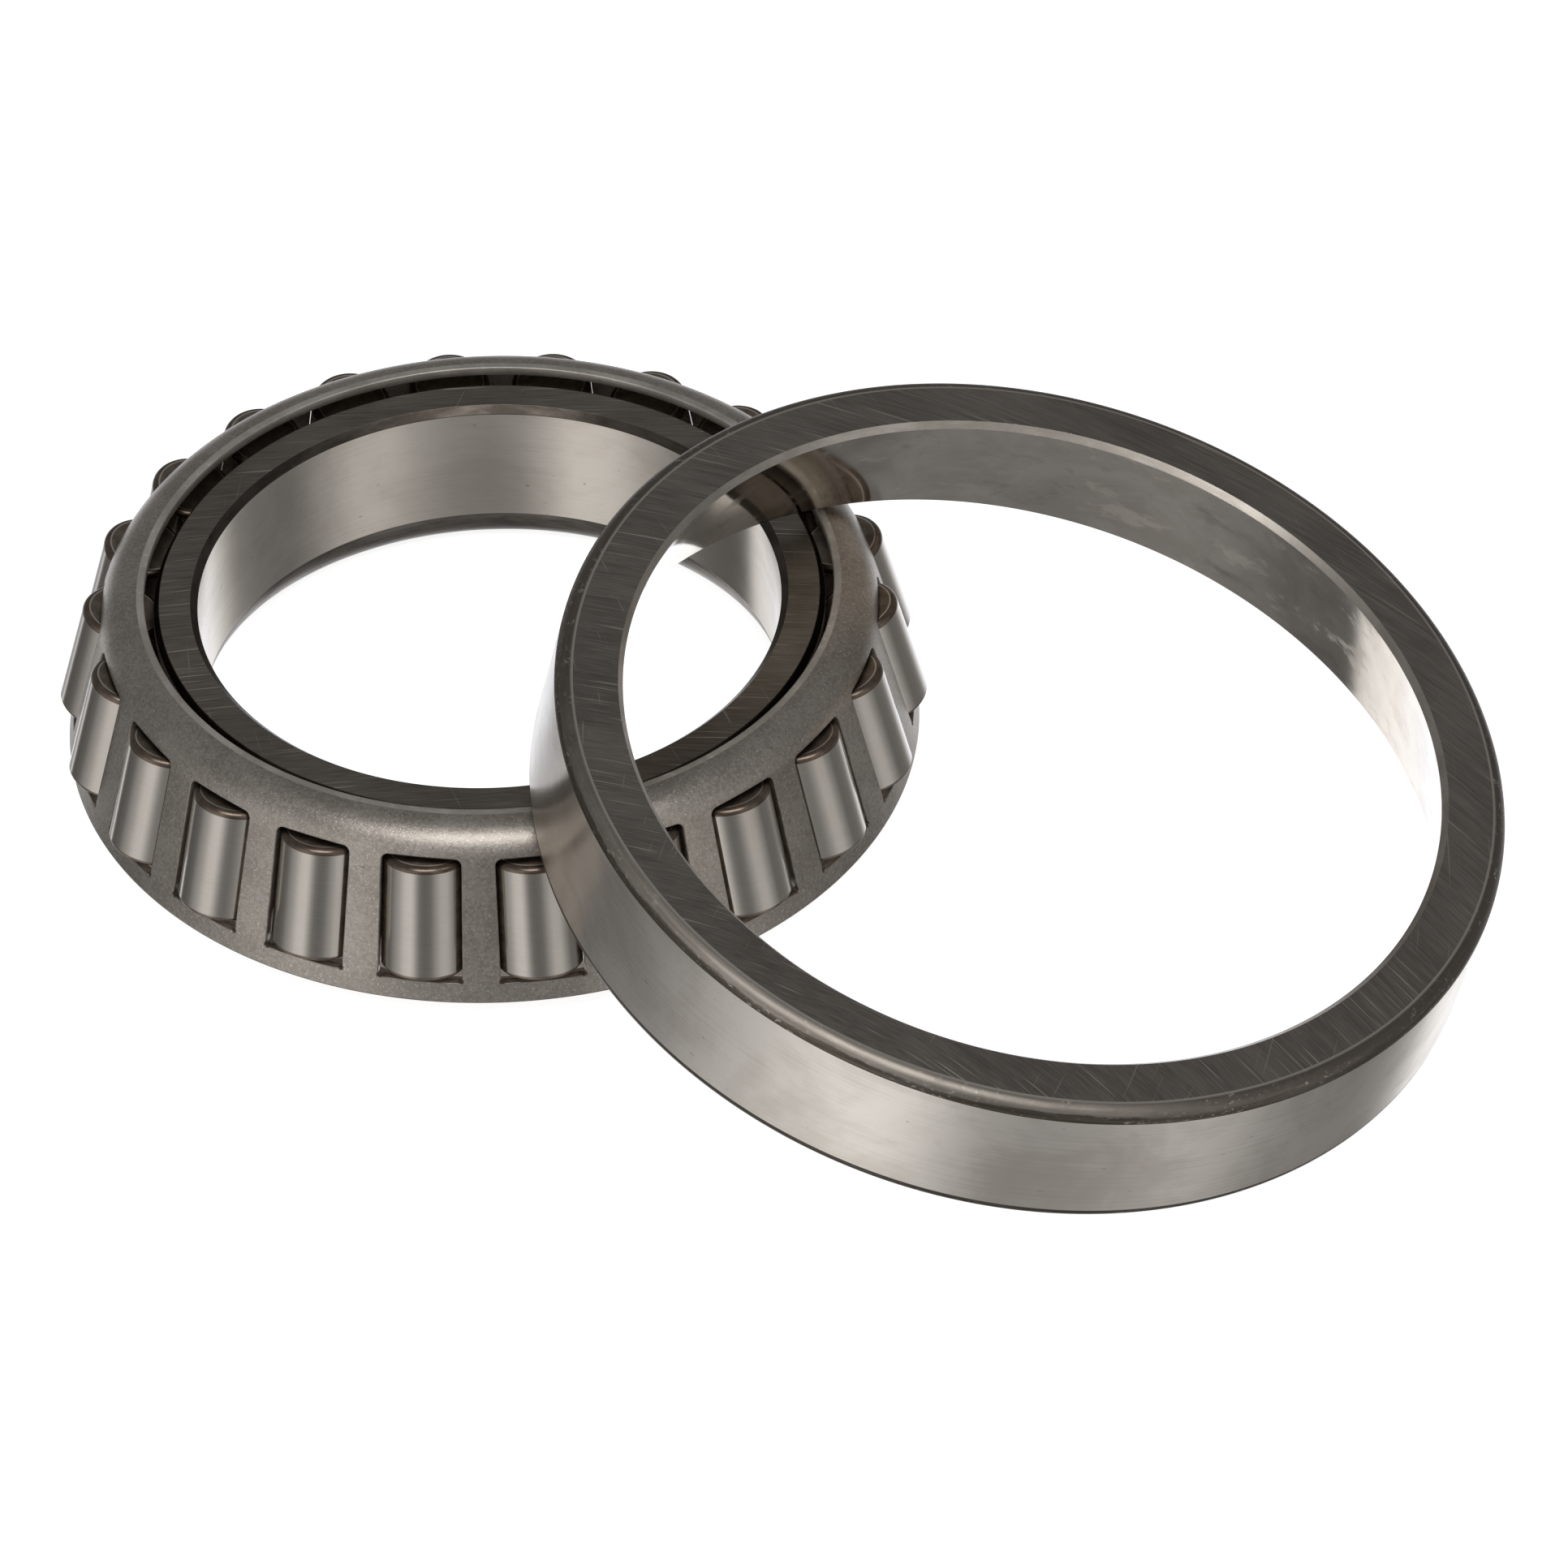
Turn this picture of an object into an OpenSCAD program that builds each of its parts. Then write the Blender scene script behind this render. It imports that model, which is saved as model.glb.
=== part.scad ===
// Single-row tapered roller bearing, taken apart: the inner ring stands on its back face
// with its cage and rollers, and the outer ring (the cup) leans on the cage's small end.
// Millimetres. The origin is on the inner ring's axis, halfway along its width.
// +Z runs from the inner ring's back face to its front face, +X towards the cup.

/* [Boundary sizes] */
// Bore diameter of the inner ring
bore_d = 68.262; // [66:0.001:69]
// Outside diameter of the cup
outer_d = 110; // [109:0.001:112]
// Width of the inner ring
ring_w = 21.996; // [21.8:0.001:23]
// Width of the cup
cup_w = 18.824; // [18:0.001:20]
// Width of the bearing when the cup is seated on the rollers
bearing_w = 22; // [21.5:0.001:23]

/* [Rollers] */
// Number of rollers
roller_count = 22; // [18:1:22]
// Length of a roller
roller_len = 14.5; // [13:0.1:14.5]
// Half-angle of a roller's own cone
roller_half_angle = 1.49; // [1.4:0.01:1.5]
// Half-angle of the cup's raceway
cup_angle = 14.93; // [14.8:0.01:15]
// Radius of the circle through the roller centres
pitch_r = 44.55; // [44.4:0.05:44.7]
// Height of the roller centres above the inner ring's back face
pitch_z = 12.35; // [12.2:0.05:12.5]
// Corner radius at a roller's small end
small_corner_r = 0.8; // [0.4:0.1:1]
// Corner radius at a roller's large end
large_corner_r = 0.6; // [0.4:0.1:1]
// Direction of the first roller, from +X
first_roller_angle = -2.5; // [-8:0.1:8]

/* [Inner ring] */
// Outer diameter of the front face
front_face_d = 77.3; // [76.8:0.1:77.6]
// Diameter over the small rib
small_rib_d = 78.6; // [78:0.1:79]
// Diameter over the large rib
large_rib_d = 86.6; // [85.6:0.1:87.4]
// Chamfer at the bore's front edge
front_chamfer = 0.84; // [0.4:0.01:1]
// Height of the large rounding at the bore's back edge
back_round_h = 5.87; // [4:0.01:6]
// Width of the large rounding at the bore's back edge
back_round_w = 4.4; // [4:0.1:5.4]
// Radius of the large rounding
back_round_r = 8; // [6:0.1:10]

/* [Cage] */
// Thickness of the cage's sheet
cage_t = 1.2; // [1:0.05:1.25]
// Half-angle of the cage's cone
cage_angle = 15; // [14.8:0.1:15.2]
// Outer radius of the cage's cone, at the height of the roller centres
cage_r = 47.727; // [47.6:0.01:47.8]
// Height of the cage's top above the inner ring's back face
cage_top = 23.45; // [23.3:0.01:23.5]
// Height of the cage's lower edge above the inner ring's back face
cage_bottom = 2.75; // [2.5:0.05:3]
// Outer radius of the bend at the cage's small end
bend_r = 5.2; // [4.6:0.1:5.4]
// Diameter of the hole inside the cage's lip
lip_d = 80.54; // [80.4:0.01:81]
// Window width at the rollers' small ends
window_small_w = 9.4; // [9.35:0.01:9.5]
// Window width at the rollers' large ends
window_large_w = 9.98; // [9.9:0.01:10]
// Gap between a roller's small end and its window
gap_small_end = 0.34; // [0.3:0.01:0.4]
// Gap between a roller's large end and its window
gap_large_end = 0.8; // [0.3:0.01:0.9]
// Corner radius at the small end of a window
window_corner_r = 0.8; // [0.4:0.1:1]
// Radius of the relief at each lower corner of a window
relief_r = 0.3; // [0.2:0.05:0.5]

/* [Cup] */
// Corner radius of the cup's outside edges
cup_corner_r = 1.8; // [1:0.1:1.8]
// Chamfer between the thick face and the raceway
cup_chamfer = 0.71; // [0.4:0.01:1]
// Inner diameter of the thin face
thin_face_d = 106.08; // [105.8:0.01:106.2]
// Height of the lead-in above the thin face
lead_in_h = 0.9; // [0.6:0.1:1]

/* [Resting place of the cup] */
// Distance from the inner ring's axis to the centre of the cup's thin face
cup_shift = 68.457; // [68:0.001:70]
// Lean of the cup, from level
cup_tilt = 14.2; // [14.2:0.1:15]

/* [Hidden] */
$fn = 96;
// gap between a roller and the inner ring's raceway
raceway_gap = 0.06;
// gap between a roller's large end and the large rib
rib_gap = 0.15;
// gap between a roller and the cup's raceway when the cup is seated
seat_gap = 0.02;
// undercut where a raceway meets a rib
undercut_depth = 0.35;
undercut_w = 0.9;
// chamfer on the ribs' outer edges
rib_chamfer = 0.6;
small_rib_w = 2.4;

bore_r = bore_d / 2;
outer_r = outer_d / 2;
lip_r = lip_d / 2;

// all roller axes and raceway lines meet at one apex on the bearing's axis
roller_tilt = cup_angle - roller_half_angle;
ring_angle = roller_tilt - roller_half_angle;
apex_z = pitch_z + pitch_r / tan(roller_tilt);
apex_to_centre = pitch_r / sin(roller_tilt);
large_rib_r = large_rib_d / 2;

// radius of a raceway line at a height above the inner ring's back face
function line_r(angle, z) = (apex_z - z) * tan(angle);
function raceway_r(z) = line_r(ring_angle, z) - raceway_gap;
function cup_raceway_r(z) = line_r(cup_angle, bearing_w - cup_w + z) + seat_gap;
// radius of a roller at a distance from its centre towards its small end
function roller_r(along) = (apex_to_centre - along) * tan(roller_half_angle);
// a point on a roller's axis as [radius, height]
function axis_point(along) = [pitch_r - along * sin(roller_tilt), pitch_z + along * cos(roller_tilt)];
// centre of the circle of radius r that passes through a and b, on the right of a to b
function arc_centre(a, b, r) =
    let (chord = b - a, half = norm(chord) / 2, side = sqrt(r * r - half * half))
    (a + b) / 2 + [chord[1], -chord[0]] / norm(chord) * side;
function roller_name(i) = str("roller_", i < 10 ? "0" : "", i);

// height of the large rib's thrust face at a radius
large_end = axis_point(-roller_len / 2);
function thrust_z(r) = large_end[1] + (r - large_end[0]) * tan(roller_tilt) - rib_gap;

// wall and bend of the cage, as [radius, height]
cage_normal = [cos(cage_angle), sin(cage_angle)];
cage_down = [sin(cage_angle), -cos(cage_angle)];
cage_pass = [cage_r, pitch_z];
bend_z = cage_top - bend_r;
bend_x = (cage_pass * cage_normal - bend_r - bend_z * sin(cage_angle)) / cos(cage_angle);
bend_centre = [bend_x, bend_z];
wall_top = bend_centre + cage_normal * bend_r;
wall_len = (wall_top[1] - cage_bottom) / cos(cage_angle);
wall_bottom = wall_top + cage_down * wall_len;

// the cup leans so that its lower outside edge just meets the surface the ring stands on
cup_z = cup_corner_r + (outer_r - cup_corner_r) * sin(cup_tilt) - cup_corner_r * cos(cup_tilt);

// moves children from the back face's frame to the part's frame
module from_back_face() {
    translate([0, 0, -ring_w / 2]) children();
}

// a frame on roller i: +Z towards its small end, +X away from the bearing's axis
module at_roller(i) {
    rotate([0, 0, first_roller_angle + (i - 1) * 360 / roller_count])
        translate([pitch_r, 0, pitch_z])
            rotate([0, -roller_tilt, 0]) children();
}

module ring_outline() {
    small_rib_z = ring_w - small_rib_w;
    race_low = thrust_z(large_rib_r) - 0.4;
    race_high = small_rib_z - undercut_w;
    race_start = race_low + undercut_w;
    polygon([
        [bore_r, 0],
        [large_rib_r - rib_chamfer, 0],
        [large_rib_r, rib_chamfer],
        [large_rib_r, thrust_z(large_rib_r)],
        [raceway_r(race_start), thrust_z(raceway_r(race_start))],
        [raceway_r(race_start) - undercut_depth, race_start - undercut_w / 2],
        [raceway_r(race_start), race_start],
        [raceway_r(race_high), race_high],
        [raceway_r(race_high) - undercut_depth, race_high + undercut_w / 2],
        [raceway_r(race_high), small_rib_z],
        [small_rib_d / 2, small_rib_z],
        [small_rib_d / 2, ring_w - rib_chamfer * 1.5],
        [front_face_d / 2, ring_w],
        [bore_r + front_chamfer, ring_w],
        [bore_r, ring_w - front_chamfer]
    ]);
}

// the corner that the bore's large back rounding takes away
module back_rounding() {
    low = [bore_r + back_round_w, 0];
    high = [bore_r, back_round_h];
    difference() {
        translate([bore_r - 1, -1]) square([back_round_w + 1, back_round_h + 1]);
        translate(arc_centre(low, high, back_round_r)) circle(back_round_r);
    }
}

module inner_ring() {
    color([0.42, 0.40, 0.38])
        from_back_face()
            rotate_extrude()
                difference() {
                    ring_outline();
                    back_rounding();
                }
}

// half-section of a roller, small end up
module roller_outline() {
    half = roller_len / 2;
    small_c = small_corner_r / cos(roller_half_angle);
    large_c = large_corner_r / cos(roller_half_angle);
    top = half - small_corner_r;
    low = -half + large_corner_r;
    polygon([
        [0, -half],
        [roller_r(low) - large_c, -half],
        [roller_r(low), low],
        [roller_r(top), top],
        [roller_r(top) - small_c, half],
        [0, half]
    ]);
    translate([roller_r(top) - small_c, top]) circle(small_corner_r);
    translate([roller_r(low) - large_c, low]) circle(large_corner_r);
}

module roller(i) {
    color([0.74, 0.72, 0.70])
        from_back_face()
            at_roller(i)
                rotate_extrude() roller_outline();
}

// everything inside the cage's surface, less a depth, down to a little past its lower edge
module cage_fill(depth, extra) {
    top = cage_top - depth;
    edge = wall_top - cage_normal * depth;
    low = wall_bottom - cage_normal * depth + cage_down * extra;
    reach = 2 * bend_r;
    difference() {
        polygon([
            [lip_r - extra, low[1]],
            [lip_r - extra, top],
            [edge[0] - (top - edge[1]) * tan(cage_angle), top],
            low
        ]);
        translate(bend_centre)
            difference() {
                polygon([[0, 0], cage_normal * reach, [reach, reach], [0, reach]]);
                circle(bend_r - depth);
            }
    }
}

// half-section of the cage: a conical wall, a bend at the small end and a lip
module cage_section() {
    difference() {
        cage_fill(0, 0);
        cage_fill(cage_t, 1);
    }
}

// outline of a window, small end up, with round upper and relieved lower corners
module window_outline() {
    top = roller_len / 2 + gap_small_end;
    low = -roller_len / 2 - gap_large_end;
    small_x = window_small_w / 2;
    large_x = window_large_w / 2;
    c = window_corner_r;
    polygon([
        [-large_x, low], [large_x, low], [small_x, top - c],
        [small_x - c, top], [c - small_x, top], [-small_x, top - c]
    ]);
    for (side = [-1, 1]) {
        translate([side * (small_x - c), top - c]) circle(c);
        translate([side * (large_x - relief_r / 2), low + relief_r / 2]) circle(relief_r);
    }
}

module cage() {
    window_depth = 5.5;
    color([0.49, 0.46, 0.43])
        from_back_face()
            difference() {
                rotate_extrude() cage_section();
                for (i = [1:roller_count])
                    at_roller(i)
                        rotate([90, 0, 90])
                            linear_extrude(window_depth) window_outline();
            }
}

// half-section of the cup with its thin face down
module cup_outline() {
    c = cup_corner_r;
    race_high = cup_w - cup_chamfer;
    polygon([
        [thin_face_d / 2, 0],
        [outer_r - c, 0], [outer_r, c],
        [outer_r, cup_w - c], [outer_r - c, cup_w],
        [cup_raceway_r(race_high) + cup_chamfer, cup_w],
        [cup_raceway_r(race_high), race_high],
        [cup_raceway_r(lead_in_h), lead_in_h]
    ]);
    for (z = [c, cup_w - c]) translate([outer_r - c, z]) circle(c);
}

module cup() {
    color([0.58, 0.56, 0.53])
        from_back_face()
            translate([cup_shift, 0, cup_z])
                rotate([0, cup_tilt, 0])
                    rotate_extrude() cup_outline();
}

inner_ring();
cage();
for (i = [1:roller_count])
    roller(i);
cup();
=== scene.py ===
import math
import bmesh
import bpy
import numpy as np
from mathutils import Matrix, Vector


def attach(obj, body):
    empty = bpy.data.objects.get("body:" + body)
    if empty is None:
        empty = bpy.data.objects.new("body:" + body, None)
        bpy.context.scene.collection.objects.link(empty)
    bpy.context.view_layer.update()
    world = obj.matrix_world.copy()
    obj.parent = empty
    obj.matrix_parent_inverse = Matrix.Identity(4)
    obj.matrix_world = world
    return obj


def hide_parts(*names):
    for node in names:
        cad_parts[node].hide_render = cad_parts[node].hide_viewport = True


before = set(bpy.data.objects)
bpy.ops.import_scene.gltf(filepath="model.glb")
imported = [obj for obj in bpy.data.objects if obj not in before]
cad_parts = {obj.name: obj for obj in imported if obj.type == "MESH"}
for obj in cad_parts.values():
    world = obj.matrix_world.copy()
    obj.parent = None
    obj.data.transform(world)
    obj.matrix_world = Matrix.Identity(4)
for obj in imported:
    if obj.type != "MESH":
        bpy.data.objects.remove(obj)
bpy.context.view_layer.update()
MM = 0.001
TAU = 2 * math.pi

# ---------------------------------------------------------------- sizes, in millimetres
BORE_R = 34.131
OUTER_R = 55.0
RING_W = 21.996
CUP_W = 18.824
BEARING_W = 22.0
ROLLERS = 22
ROLLER_LEN = 14.5
ROLLER_ANGLE = math.radians(1.49)
CUP_ANGLE = math.radians(14.93)
PITCH_R, PITCH_Z = 44.55, 12.35
FIRST_ROLLER = math.radians(-2.5)
SMALL_CORNER, LARGE_CORNER = 0.8, 0.6
FRONT_FACE_R, SMALL_RIB_R, LARGE_RIB_R = 38.65, 39.3, 43.3
FRONT_CHAMFER, SMALL_RIB_CHAMFER, LARGE_RIB_CHAMFER = 0.84, 0.9, 0.6
SMALL_RIB_H, RACE_DROP = 2.4, 0.4
RING_RELIEF_W, RING_RELIEF_DEPTH = 0.9, 0.35
BACK_ROUND_H, BACK_ROUND_W, BACK_ROUND_R = 5.87, 4.4, 8.0
CAGE_T = 1.2
CAGE_ANGLE = math.radians(15)
CAGE_R, CAGE_TOP, CAGE_BOTTOM = 47.727, 23.45, 2.75
BEND_R, LIP_R = 5.2, 40.27
WINDOW_SMALL, WINDOW_LARGE = 9.15, 9.73
GAP_SMALL, GAP_LARGE = 0.34, 0.80
WINDOW_CORNER, RELIEF_R = 0.8, 0.30
CUP_CORNER, CUP_CHAMFER = 1.8, 0.71
THIN_FACE_R, LEAD_IN_H = 53.04, 0.9
CUP_SHIFT = 68.457
CUP_TILT = math.radians(14.2)
RACEWAY_GAP, RIB_GAP, SEAT_GAP = 0.06, 0.15, 0.02
# the cage's softened cut edges, the border of its window sectors and its lip's small corners
EDGE_SOFT, EDGE_CHAMFER = 0.14, 0.2
SECTOR_BOTTOM, SECTOR_TOP = 0.35, math.radians(42)
LIP_SOFT, LIP_BACK = 0.16, 0.12

ROLLER_TILT = CUP_ANGLE - ROLLER_ANGLE
RING_ANGLE = ROLLER_TILT - ROLLER_ANGLE
APEX_Z = PITCH_Z + PITCH_R / math.tan(ROLLER_TILT)
APEX_TO_CENTRE = PITCH_R / math.sin(ROLLER_TILT)
CUP_Z = CUP_CORNER + (OUTER_R - CUP_CORNER) * math.sin(CUP_TILT) - CUP_CORNER * math.cos(CUP_TILT)
FLOOR_Z = -RING_W / 2


def raceway_r(z):
    return (APEX_Z - z) * math.tan(RING_ANGLE) - RACEWAY_GAP


def cup_raceway_r(z):
    return (APEX_Z - (BEARING_W - CUP_W + z)) * math.tan(CUP_ANGLE) + SEAT_GAP


def roller_r(along):
    return (APEX_TO_CENTRE - along) * math.tan(ROLLER_ANGLE)


def thrust_z(r):
    end_r = PITCH_R + ROLLER_LEN / 2 * math.sin(ROLLER_TILT)
    end_z = PITCH_Z - ROLLER_LEN / 2 * math.cos(ROLLER_TILT)
    return end_z + (r - end_r) * math.tan(ROLLER_TILT) - RIB_GAP


# ---------------------------------------------------------------- frames of the pieces
def ring_frame():
    return Matrix.Translation(Vector((0, 0, FLOOR_Z * MM)))


def roller_frame(i):
    turn = FIRST_ROLLER + i * TAU / ROLLERS
    return (ring_frame() @ Matrix.Rotation(turn, 4, "Z")
            @ Matrix.Translation(Vector((PITCH_R * MM, 0, PITCH_Z * MM)))
            @ Matrix.Rotation(-ROLLER_TILT, 4, "Y"))


def cup_frame():
    return (ring_frame() @ Matrix.Translation(Vector((CUP_SHIFT * MM, 0, CUP_Z * MM)))
            @ Matrix.Rotation(CUP_TILT, 4, "Y"))


def add_object(name, data):
    obj = bpy.data.objects.new(name, data)
    bpy.context.scene.collection.objects.link(obj)
    return obj


# ---------------------------------------------------------------- turned shapes
def rounded(points, closed=True, steps=5):
    """(r, z, normal_r, normal_z, zone) along an outline whose corners have their own radii.
    Each point is (r, z, corner radius, zone of the side that follows). Solid lies on the left."""
    n = len(points)
    out = []
    for k in range(n):
        r, z, c, zone = points[k]
        here = np.array([r, z])
        before = np.array(points[(k - 1) % n][:2])
        after = np.array(points[(k + 1) % n][:2])
        u = (here - before) / np.linalg.norm(here - before)
        v = (after - here) / np.linalg.norm(after - here)
        nu, nv = np.array([u[1], -u[0]]), np.array([v[1], -v[0]])
        if not closed and k in (0, n - 1):
            m = nv if k == 0 else nu
            out.append((r, z, m[0], m[1], zone))
            continue
        turn = math.atan2(u[0] * v[1] - u[1] * v[0], float(u @ v))
        back = c * abs(math.tan(turn / 2))
        start = here - u * back
        centre = start - nu * c * (1 if turn > 0 else -1)
        last_zone = points[(k - 1) % n][3]
        for s in range(steps + 1):
            a = turn * s / steps
            m = np.array([nu[0] * math.cos(a) - nu[1] * math.sin(a),
                          nu[0] * math.sin(a) + nu[1] * math.cos(a)])
            p = centre + m * c * (1 if turn > 0 else -1)
            out.append((p[0], p[1], m[0], m[1], zone if s == steps else last_zone))
    return out


def lathe(name, outline, segments, place, closed=True):
    """A mesh turned from an outline, with exact normals, a map (turn, length) and its zones."""
    rows = len(outline)
    ang = np.arange(segments) * TAU / segments
    prof = np.array([o[:4] for o in outline], float)
    co = np.stack([np.outer(prof[:, 0], np.cos(ang)), np.outer(prof[:, 0], np.sin(ang)),
                   np.outer(prof[:, 1], np.ones(segments))], 2).reshape(-1, 3) * MM
    no = np.stack([np.outer(prof[:, 2], np.cos(ang)), np.outer(prof[:, 2], np.sin(ang)),
                   np.outer(prof[:, 3], np.ones(segments))], 2).reshape(-1, 3)
    # where the outline meets the axis, one vertex stands for the whole row
    vertex = np.arange(rows * segments).reshape(rows, segments)
    for k in np.where(prof[:, 0] < 1e-6)[0]:
        vertex[k] = vertex[k, 0]
    used, vertex = np.unique(vertex, return_inverse=True)
    vertex = vertex.reshape(rows, segments).tolist()
    co, no = co[used], no[used]
    step = np.linalg.norm(np.diff(prof[:, :2], axis=0, append=prof[:1, :2]), axis=1)
    run = np.concatenate([[0], np.cumsum(step)])
    total = run[-1] if closed else run[rows - 1]
    faces, zones, uvs = [], [], []
    for k in range(rows if closed else rows - 1):
        k2 = (k + 1) % rows
        v0, v1 = run[k] / total, run[k + 1] / total
        for i in range(segments):
            i2 = (i + 1) % segments
            u0, u1 = i / segments, (i + 1) / segments
            corners = {}
            for row, column, u, v in ((k, i, u0, v0), (k, i2, u1, v0), (k2, i2, u1, v1),
                                      (k2, i, u0, v1)):
                corners.setdefault(vertex[row][column], (u, v))
            faces.append(list(corners))
            uvs += corners.values()
            zones.append(outline[k][4])
    mesh = bpy.data.meshes.new(name)
    mesh.from_pydata(co.tolist(), [], faces)
    layer = mesh.uv_layers.new(name="turned")
    layer.data.foreach_set("uv", np.array(uvs, np.float32).ravel())
    mesh.polygons.foreach_set("use_smooth", [True] * len(faces))
    mesh.polygons.foreach_set("material_index", zones)
    mesh.normals_split_custom_set_from_vertices(no.tolist())
    mesh.update()
    obj = add_object(name, mesh)
    obj.matrix_world = place
    return obj


def dress(obj, materials, body, node):
    for m in materials:
        obj.data.materials.append(m)
    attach(obj, body)
    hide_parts(node)


def arc_points(a, b, radius, steps, zone):
    """Points on the arc from a to b whose centre is on the right of a to b."""
    a, b = np.array(a), np.array(b)
    chord = b - a
    half = np.linalg.norm(chord) / 2
    side = math.sqrt(radius * radius - half * half)
    centre = (a + b) / 2 + np.array([chord[1], -chord[0]]) / (2 * half) * side
    start = math.atan2(*(a - centre)[::-1])
    sweep = math.atan2(*(b - centre)[::-1]) - start
    sweep = (sweep + math.pi) % TAU - math.pi
    pts = []
    for k in range(steps + 1):
        t = start + sweep * k / steps
        pts.append((centre[0] + radius * math.cos(t), centre[1] + radius * math.sin(t), 0.02, zone))
    return pts


# zones of the two rings, which are also their material slots
FACE, BORE, CHAMFER, ROUND, RACE = range(5)


def build_inner_ring(mats):
    small_rib_z = RING_W - SMALL_RIB_H
    race_low = thrust_z(LARGE_RIB_R) - RACE_DROP
    race_high = small_rib_z - RING_RELIEF_W
    race_start = race_low + RING_RELIEF_W
    relief_mid = RING_RELIEF_W / 2
    race_r0, race_r1 = raceway_r(race_start), raceway_r(race_high)
    pts = [
        (LARGE_RIB_R - LARGE_RIB_CHAMFER, 0, 0.15, RACE),
        (LARGE_RIB_R, LARGE_RIB_CHAMFER, 0.15, RACE),
        (LARGE_RIB_R, thrust_z(LARGE_RIB_R), 0.1, RACE),
        (race_r0, thrust_z(race_r0), 0.05, RACE),
        (race_r0 - RING_RELIEF_DEPTH, race_start - relief_mid, 0.1, RACE),
        (race_r0, race_start, 0.03, RACE),
        (race_r1, race_high, 0.03, RACE),
        (race_r1 - RING_RELIEF_DEPTH, race_high + relief_mid, 0.1, RACE),
        (race_r1, small_rib_z, 0.05, RACE),
        (SMALL_RIB_R, small_rib_z, 0.1, RACE),
        (SMALL_RIB_R, RING_W - SMALL_RIB_CHAMFER, 0.15, CHAMFER),
        (FRONT_FACE_R, RING_W, 0.12, FACE),
        (BORE_R + FRONT_CHAMFER, RING_W, 0.06, CHAMFER),
        (BORE_R, RING_W - FRONT_CHAMFER, 0.10, BORE),
    ]
    low, high = (BORE_R + BACK_ROUND_W, 0), (BORE_R, BACK_ROUND_H)
    arc = arc_points(low, high, BACK_ROUND_R, 10, ROUND)[::-1]
    arc[0] = (BORE_R, BACK_ROUND_H, 0.3, ROUND)
    arc[-1] = (low[0], low[1], 0.1, FACE)
    outline = rounded(pts + arc, steps=4)
    ring = lathe("inner_ring_turned", outline, 288, ring_frame())
    dress(ring, mats, "inner_ring", "inner_ring")
    return ring


def build_cup(mats):
    c = CUP_CORNER
    top = CUP_W - CUP_CHAMFER
    pts = [
        (THIN_FACE_R, 0, 0.08, FACE),
        (OUTER_R, 0, c, BORE),
        (OUTER_R, CUP_W, c, FACE),
        (cup_raceway_r(top) + CUP_CHAMFER, CUP_W, 0.07, CHAMFER),
        (cup_raceway_r(top), top, 0.07, RACE),
        (cup_raceway_r(LEAD_IN_H), LEAD_IN_H, 0.15, RACE),
    ]
    cup = lathe("cup_turned", rounded(pts, steps=8), 384, cup_frame())
    # the outer corners are a zone of their own: faces near the outside, neither level nor upright
    for p in cup.data.polygons:
        sideways = math.hypot(p.normal.x, p.normal.y)
        radius = math.hypot(p.center.x, p.center.y) / MM
        if radius > OUTER_R - c - 0.05 and 0.02 < sideways < 0.9998:
            p.material_index = ROUND
    dress(cup, mats, "cup", "cup")
    return cup


ROLL_SIDE, ROLL_END, ROLL_CORNER = range(3)


def build_rollers(mats):
    half = ROLLER_LEN / 2
    steps = 6
    outline = rounded([
        (0.0, -half, 0, ROLL_END),
        (roller_r(-half), -half, LARGE_CORNER, ROLL_SIDE),
        (roller_r(half), half, SMALL_CORNER, ROLL_END),
        (0.0, half, 0, ROLL_END),
    ], closed=False, steps=steps)
    # the axis point and the large corner's points come before the small corner's
    small = 1 + steps + 1
    for k in range(small, small + steps):
        outline[k] = (*outline[k][:4], ROLL_CORNER)
    for i in range(ROLLERS):
        name = "roller_%02d" % (i + 1)
        roller = lathe(name + "_turned", outline, 96, roller_frame(i), closed=False)
        dress(roller, mats, name, name)


# ---------------------------------------------------------------- the pressed cage
CAGE_N = np.array([math.cos(CAGE_ANGLE), math.sin(CAGE_ANGLE)])
CAGE_C = float(np.array([CAGE_R, PITCH_Z]) @ CAGE_N)


def bend_centre():
    z = CAGE_TOP - BEND_R
    return np.array([(CAGE_C - BEND_R - z * math.sin(CAGE_ANGLE)) / math.cos(CAGE_ANGLE), z])


def wall_depth(r, z):
    """How far a point lies below the cage's outer surface: the cone, or the bend above it."""
    centre = bend_centre()
    cone = CAGE_C - r * CAGE_N[0] - z * CAGE_N[1]
    dr, dz = r - centre[0], z - centre[1]
    bend = BEND_R - np.hypot(dr, dz)
    return np.where(np.arctan2(dz, dr) > CAGE_ANGLE, bend, cone)


def wall_r(z, depth):
    """The radius of the wall at a height, at a depth below its outer surface."""
    centre = bend_centre()
    inner = BEND_R - depth
    cone = (CAGE_C - depth - z * CAGE_N[1]) / CAGE_N[0]
    bend = centre[0] + np.sqrt(np.maximum(inner ** 2 - (z - centre[1]) ** 2, 0))
    return np.where(z > centre[1] + inner * CAGE_N[1], bend, cone)


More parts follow.
